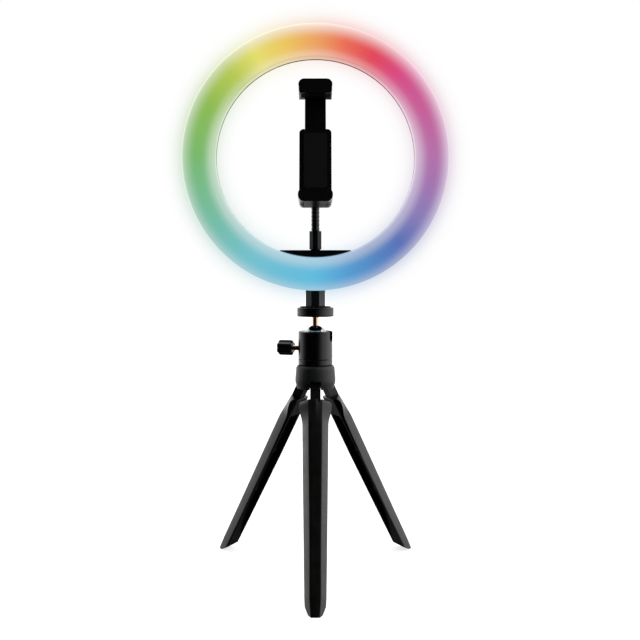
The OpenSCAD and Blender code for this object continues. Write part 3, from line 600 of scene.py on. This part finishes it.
# half sections as (radius, height)
KNOB = [(2.06, 18.6), (4.4, 18.6), (5.35, 18.9), (5.8, 19.5), (5.95, 20.2), (KNOB_R, 21.2), (KNOB_R, 28.2),
        (5.95, 29.2), (5.8, 29.9), (5.35, 30.5), (4.5, 30.78), (3.8, 30.8), (3.4, 30.4), (0, 30.3), (0, 24.7),
        (2.06, 24.7)]
WHEEL = [(r, WHEEL_Z + h) for r, h in (
    (3.3, 0), (13.8, 0), (14.1, 0.1), (14.25, 0.35), (14.25, 0.55), (13.9, 0.65), (13.9, 0.72), (14.2, 0.9),
    (14.2, 5.7), (13.9, 5.85), (13.9, 5.95), (14.25, 6.05), (14.25, 6.5), (14.1, 6.72), (13.8, 6.8),
    (3.3, 6.8))]
BALL = [(0.0, BALL_Z - BALL_R)] + arc(0, BALL_Z, BALL_R, -88, math.degrees(math.acos(STEM_R / BALL_R)), 40)
BALL_TOP = BALL[-1][1]

piece("lock_screw_thread", turned(bmesh.new(), lock_outline(8.9, 24.6), LOCK, 40), "lock_screw",
      ("lock_screw",), crease=50, look="stem_copper")
piece("lock_knob_grip", turned(bmesh.new(), KNOB, LOCK, 144, knob_shape), "lock_knob", ("lock_knob",),
      crease=40)
piece("lock_wheel_knurl", turned(bmesh.new(), WHEEL, AXIS, WHEEL_TEETH * 4, wheel_shape), "lock_wheel",
      ("lock_wheel",), crease=30)
piece("ball_chromed", turned(bmesh.new(), BALL + [(0.0, BALL_TOP)], AXIS, 96), "ball_stud", ("ball_stud",),
      crease=40)
piece("ball_stem", turned(bmesh.new(), stem_outline(BALL_TOP), AXIS, 48), "ball_stud", crease=40,
      look="stem_copper", slot="brass")
# the post's lighter black is painted reflection on its flat front
refined("post", 0.3, 3, look="post_black_painted_reflection")
refined("tilt_bolt", 0.25)
refined("tilt_nut", 0.25)

# ---------- flexible neck ----------

# mm: the lowest bend's height, the distance between bends, and the neck's place in front of the axis
NECK_Z, NECK_STEP, NECK_Y = 260.8, 15.0, 20.0
# a rib's length, the radius between ribs, the bore's radius, and how far a bend reaches each way
RIB, HOSE_R, HOSE_BORE, BEND_REACH = 3.0, 2.84, 1.9, 2.4
# how each rib swells over its own length (0 to 1), mm
SWELL = ((0.0, 0.0), (0.1, 0.04), (0.25, 0.18), (0.5, 0.26), (0.75, 0.18), (0.9, 0.04))
NECK = AXIS @ Matrix.Translation((0, -NECK_Y * MM, 0))


def hose(low, high):
    """Ribbed hose from one height over the lowest bend to another, in whole ribs."""
    count = round((high - low) / RIB)
    step = (high - low) / count
    ribs = [(HOSE_R + out, low + (i + t) * step) for i in range(count) for t, out in SWELL]
    outline = [(HOSE_BORE, low)] + ribs + [(HOSE_R, high), (HOSE_BORE, high)]
    return turned(bmesh.new(), [(r, NECK_Z + h) for r, h in outline], NECK, 48)


BENT = [("neck_hose_foot", -0.9, 6.0, "gooseneck_lower", ("collar", "neck_lower")),
        ("neck_hose_lower", 6.0, 24.0, "gooseneck_middle", ("neck_lower", "neck_middle")),
        ("neck_hose_middle", 24.0, 36.0, "gooseneck_upper", ("neck_middle", "neck_upper"))]
for i, (name, low, high, node, bodies) in enumerate(BENT):
    made = piece(name, hose(low, high), node, (node,), body=False, crease=60)
    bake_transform(made)
piece("neck_hose_upper", hose(36.0, 45.0), "gooseneck_upper", (), crease=60)
refined("neck_collar", 0.3)
for node in ("gooseneck_end", "ball_socket", "socket_nut"):
    refined(node, 0.2)

# ---------- phone clamp ----------

refined("clamp_body", 0.95, 4, crease=40)
refined("upper_jaw", 1.0, 4, crease=40)
refined("clamp_cover", 0.4, 2, crease=40)

# ---------- studio ----------

WHITE = (1, 1, 1, 1)
# light that reflections see, from the camera's end of the room (0) to the far end (1)
ROOM = [(0.0, 0.005), (0.09, 0.012), (0.15, 0.06), (0.23, 0.20), (0.30, 0.40), (0.42, 0.60), (0.55, 0.66),
        (0.75, 1.0), (1.0, 0.66)]
# how far the far end's light leans to the right, the glow's reach as a share of the picture, and its strength
LEAN_RIGHT, GLOW_REACH, GLOW_STRENGTH = 0.46, 0.04, 0.76


def studio_room():
    """A room that is white to the camera, and lit from the sides and the far end for everything else."""
    world = bpy.data.worlds.new("studio")
    bpy.context.scene.world = world
    world.use_nodes = True
    world.node_tree.nodes.clear()
    g = Graph(world.node_tree)
    way = g.node("TexCoord").outputs["Generated"]
    split = g.node("SeparateXYZ", {0: way}).outputs
    lean = g.math("MULTIPLY_ADD", split["X"], LEAN_RIGHT, split["Y"])
    flat = g.node("VectorMath", {0: way, 1: (1, 1, 0)}, operation="MULTIPLY").outputs[0]
    level = g.node("VectorMath", {0: flat}, operation="LENGTH").outputs["Value"]
    light = g.ramp(g.span(g.math("DIVIDE", lean, g.math("MAXIMUM", level, 0.25)), -1.0, 1.0), ROOM)
    # dark below, where the legs' inner faces look
    strength = g.span(split["Z"], -0.5, -0.12, 0.06, 1.7)
    soft = g.node("Background", {"Color": light, "Strength": strength}).outputs[0]
    white = g.node("Background", {"Color": WHITE, "Strength": 1.0}).outputs[0]
    seen = g.node("LightPath").outputs["Is Camera Ray"]
    g.node("OutputWorld", {"Surface": g.node("MixShader", {0: seen, 1: soft, 2: white}).outputs[0]})


def pale_floor():
    """A plain pale floor that reflections and bounced light don't see."""
    mesh = bpy.data.meshes.new("floor")
    mesh.from_pydata([(-6, -4, 0), (6, -4, 0), (6, 8, 0), (-6, 8, 0)], [], [(0, 1, 2, 3)])
    floor = bpy.data.objects.new("floor", mesh)
    bpy.context.scene.collection.objects.link(floor)
    g = Paint("floor_white")
    tone = g.ramp(g.noise(g.place(), 3.0), [(0.3, 0.78), (0.7, 0.8)])
    mesh.materials.append(g.shade({"Base Color": tone, "Roughness": 0.9, "Specular IOR Level": 0.0,
                                   "Emission Color": WHITE, "Emission Strength": 0.72}))
    floor.visible_glossy = False
    floor.visible_diffuse = False
    floor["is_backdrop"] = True


def level_camera():
    """A level camera straight in front of the object."""
    camera = bpy.data.objects.new("camera", bpy.data.cameras.new("camera"))
    bpy.context.scene.collection.objects.link(camera)
    bpy.context.scene.camera = camera
    camera.location = (0, AXIS_Y - 0.6135, 0.2295)
    camera.rotation_euler = (math.radians(90), 0, 0)
    camera.data.sensor_width = 36
    camera.data.lens = 44.33
    camera.data.shift_x = 0.0072
    camera.data.shift_y = -0.075


def glow_round_ring():
    """The soft coloured light that the lit ring throws on the white room behind it."""
    scene = bpy.context.scene
    for name, kind in (("glow_taken", "COLOR"), ("glow_cover", "VALUE")):
        aov = bpy.context.view_layer.aovs.add()
        aov.name = name
        aov.type = kind
    scene.use_nodes = True
    scene.node_tree.nodes.clear()
    g = Graph(scene.node_tree, "CompositorNode")
    layers = g.node("RLayers").outputs
    reach = g.node("RelativeToPixel", {"Image": layers["glow_taken"], 1: GLOW_REACH}, data_type="FLOAT",
                   reference_dimension="X").outputs[0]
    taken = g.node("Blur", {"Image": layers["glow_taken"], "Size": reach}, filter_type="GAUSS").outputs[0]
    share = g.math("MULTIPLY", g.math("SUBTRACT", 1.0, layers["glow_cover"]), GLOW_STRENGTH)
    left = g.node("MixRGB", {0: share, 1: WHITE, 2: taken}, blend_type="SUBTRACT").outputs[0]
    capped = g.node("MixRGB", {0: 1.0, 1: layers["Image"], 2: WHITE}, blend_type="DARKEN").outputs[0]
    tinted = g.node("MixRGB", {0: 1.0, 1: capped, 2: left}, blend_type="MULTIPLY").outputs[0]
    g.node("Composite", {0: tinted})


bpy.context.scene.view_settings.view_transform = "Standard"
studio_room()
pale_floor()
level_camera()
glow_round_ring()

low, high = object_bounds()
